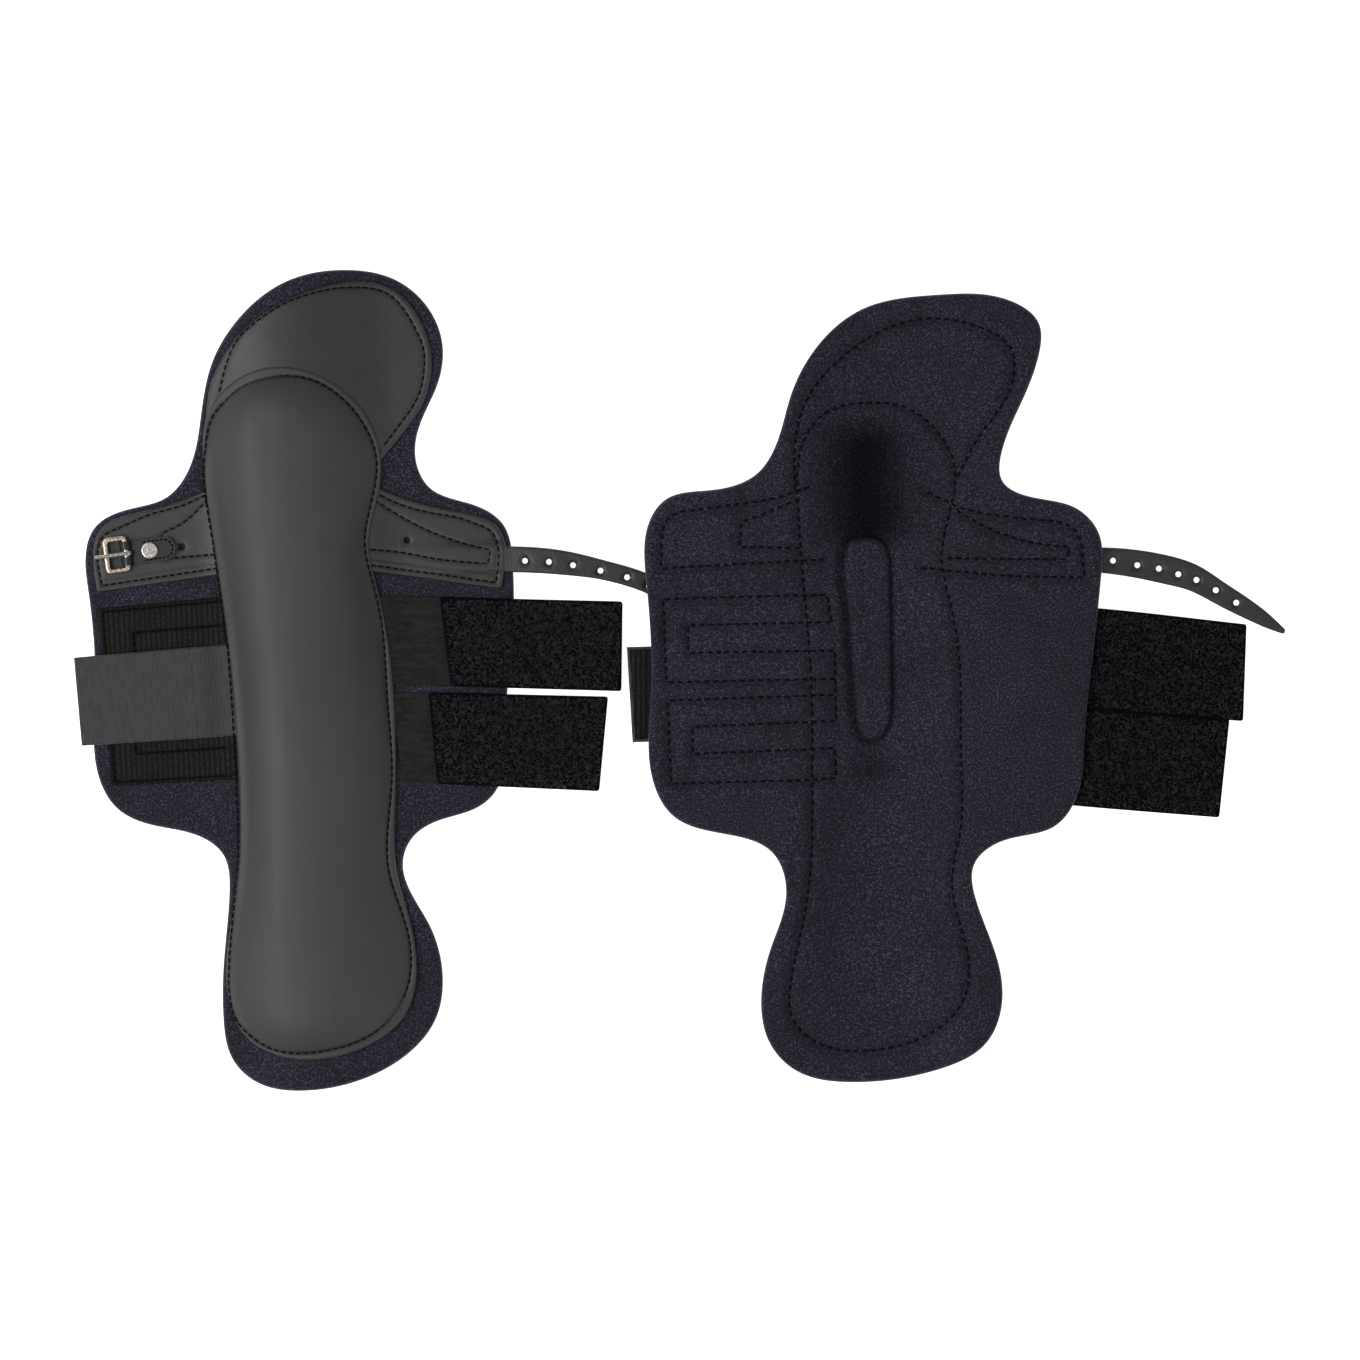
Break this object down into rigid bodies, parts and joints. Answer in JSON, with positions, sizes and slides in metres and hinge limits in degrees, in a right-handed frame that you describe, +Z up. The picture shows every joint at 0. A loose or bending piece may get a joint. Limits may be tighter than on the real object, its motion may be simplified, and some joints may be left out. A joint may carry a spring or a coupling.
{
  "type": "tendon boots",
  "caption": "Open-front tendon boots for a horse: moulded strike pad on a neoprene liner, elastic loop straps, hook wing with over-band, leather billet and buckle.",
  "frame": {"origin": "on the floor, below the centre of the box round the pair as it lies", "axes": "+X along the row of the two boots, +Y towards their tops, +Z up"},
  "size_m": [0.5334, 0.3616, 0.02],
  "materials": {
    "neoprene_knit": "fine knit over neoprene",
    "lining_pad": "smooth knit over a padded bar",
    "patch": "fine-grained synthetic leather",
    "pad_shell": "satin moulded shell",
    "foam": "closed-cell foam",
    "webbing": "ribbed webbing",
    "hook_tape": "hook tape",
    "elastic": "ribbed elastic",
    "loop_pile": "brushed loop pile",
    "leather": "smooth leather",
    "nickel": "worn nickel plating"
  },
  "bodies": {
    "left_core": {"left_liner_core": "neoprene_knit", "left_tendon_bar": "lining_pad", "left_top_patch": "patch", "left_strike_pad": "pad_shell", "left_strike_foam": "foam", "left_band_anchor": "webbing"},
    "left_buckle_wing": {"left_buckle_wing": "neoprene_knit", "left_buckle_patch": "patch", "left_hook_upper": "hook_tape", "left_hook_lower": "hook_tape", "left_buckle_chape": "leather", "left_chape_rivet": "nickel"},
    "left_over_band": {"left_band_web": "webbing", "left_band_hooks": "hook_tape"},
    "left_buckle_frame": {"left_buckle_frame": "nickel"},
    "left_buckle_tongue": {"left_buckle_tongue": "nickel"},
    "left_strap_wing": {"left_strap_wing": "neoprene_knit", "left_billet_patch": "patch", "left_billet_anchor": "leather", "left_elastic_upper": "elastic", "left_elastic_lower": "elastic", "left_pile_upper": "loop_pile", "left_pile_lower": "loop_pile"},
    "left_upper_strap": {"left_tip_web_upper": "elastic", "left_tip_pile_upper": "loop_pile"},
    "left_lower_strap": {"left_tip_web_lower": "elastic", "left_tip_pile_lower": "loop_pile"},
    "left_billet": {"left_billet": "leather"},
    "right_core": {"right_liner_core": "neoprene_knit", "right_tendon_bar": "lining_pad", "right_top_patch": "patch", "right_strike_pad": "pad_shell", "right_strike_foam": "foam", "right_band_anchor": "webbing"},
    "right_buckle_wing": {"right_buckle_wing": "neoprene_knit", "right_buckle_patch": "patch", "right_hook_upper": "hook_tape", "right_hook_lower": "hook_tape", "right_buckle_chape": "leather", "right_chape_rivet": "nickel"},
    "right_over_band": {"right_band_web": "webbing", "right_band_hooks": "hook_tape"},
    "right_buckle_frame": {"right_buckle_frame": "nickel"},
    "right_buckle_tongue": {"right_buckle_tongue": "nickel"},
    "right_strap_wing": {"right_strap_wing": "neoprene_knit", "right_billet_patch": "patch", "right_billet_anchor": "leather", "right_elastic_upper": "elastic", "right_elastic_lower": "elastic", "right_pile_upper": "loop_pile", "right_pile_lower": "loop_pile"},
    "right_upper_strap": {"right_tip_web_upper": "elastic", "right_tip_pile_upper": "loop_pile"},
    "right_lower_strap": {"right_tip_web_lower": "elastic", "right_tip_pile_lower": "loop_pile"},
    "right_billet": {"right_billet": "leather"}
  },
  "joints": [
    {"name": "left_buckle_wing_wrap", "type": "hinge", "parent": "left_core", "child": "left_buckle_wing", "pos_m": [-0.2067, 0.00391, 0.00225], "axis": [0.091, -0.9959, 0], "range_deg": [0, 95]},
    {"name": "left_strap_wing_wrap", "type": "hinge", "parent": "left_core", "child": "left_strap_wing", "pos_m": [-0.11935, 0.00908, 0.00225], "axis": [0.0304, 0.9995, 0], "range_deg": [0, 95]},
    {"name": "left_over_band_peel", "type": "hinge", "parent": "left_buckle_wing", "child": "left_over_band", "pos_m": [-0.21258, 0.00337, 0.00735], "axis": [-0.091, 0.9959, 0], "range_deg": [0, 120]},
    {"name": "left_buckle_frame_tilt", "type": "hinge", "parent": "left_buckle_wing", "child": "left_buckle_frame", "pos_m": [-0.24361, 0.0556, 0.0087], "axis": [-0.1374, 0.9905, 0], "range_deg": [0, 80]},
    {"name": "left_buckle_tongue_tilt", "type": "hinge", "parent": "left_buckle_frame", "child": "left_buckle_tongue", "pos_m": [-0.24361, 0.0556, 0.0087], "axis": [-0.1374, 0.9905, 0], "range_deg": [0, 45]},
    {"name": "left_upper_strap_fold", "type": "hinge", "parent": "left_strap_wing", "child": "left_upper_strap", "pos_m": [-0.0719, 0.01624, 0.006], "axis": [0.0204, 0.9998, 0], "range_deg": [-95, 85]},
    {"name": "left_lower_strap_fold", "type": "hinge", "parent": "left_strap_wing", "child": "left_lower_strap", "pos_m": [-0.07292, -0.02687, 0.006], "axis": [0.0258, 0.9997, 0], "range_deg": [-95, 85]},
    {"name": "left_billet_bend", "type": "hinge", "parent": "left_strap_wing", "child": "left_billet", "pos_m": [-0.0721, 0.05378, 0.00735], "axis": [-0.0506, 0.9987, 0], "range_deg": [0, 80]},
    {"name": "right_buckle_wing_wrap", "type": "hinge", "parent": "right_core", "child": "right_buckle_wing", "pos_m": [0.0436, 0.00325, 0.01775], "axis": [-0.032, 0.9995, 0], "range_deg": [0, 95]},
    {"name": "right_strap_wing_wrap", "type": "hinge", "parent": "right_core", "child": "right_strap_wing", "pos_m": [0.1341, 0.0035, 0.01775], "axis": [-0.0669, -0.9978, 0], "range_deg": [0, 95]},
    {"name": "right_over_band_peel", "type": "hinge", "parent": "right_buckle_wing", "child": "right_over_band", "pos_m": [0.0377, 0.00306, 0.01265], "axis": [0.032, -0.9995, 0], "range_deg": [0, 120]},
    {"name": "right_buckle_frame_tilt", "type": "hinge", "parent": "right_buckle_wing", "child": "right_buckle_frame", "pos_m": [0.0086, 0.0615, 0.0113], "axis": [0.0698, -0.9976, 0], "range_deg": [0, 80]},
    {"name": "right_buckle_tongue_tilt", "type": "hinge", "parent": "right_buckle_frame", "child": "right_buckle_tongue", "pos_m": [0.0086, 0.0615, 0.0113], "axis": [0.0698, -0.9976, 0], "range_deg": [0, 45]},
    {"name": "right_upper_strap_fold", "type": "hinge", "parent": "right_strap_wing", "child": "right_upper_strap", "pos_m": [0.18415, 0.008, 0.014], "axis": [-0.09, -0.9959, 0], "range_deg": [-95, 85]},
    {"name": "right_lower_strap_fold", "type": "hinge", "parent": "right_strap_wing", "child": "right_lower_strap", "pos_m": [0.17945, -0.036, 0.014], "axis": [-0.0883, -0.9961, 0], "range_deg": [-95, 85]},
    {"name": "right_billet_bend", "type": "hinge", "parent": "right_strap_wing", "child": "right_billet", "pos_m": [0.1869, 0.052, 0.01265], "axis": [0, -1, 0], "range_deg": [-60, 80]},
    {"name": "right_boot_lift", "type": "slide", "parent": "left_core", "child": "right_core", "axis": [0, 0, 1], "range_m": [0, 0.12]}
  ]
}
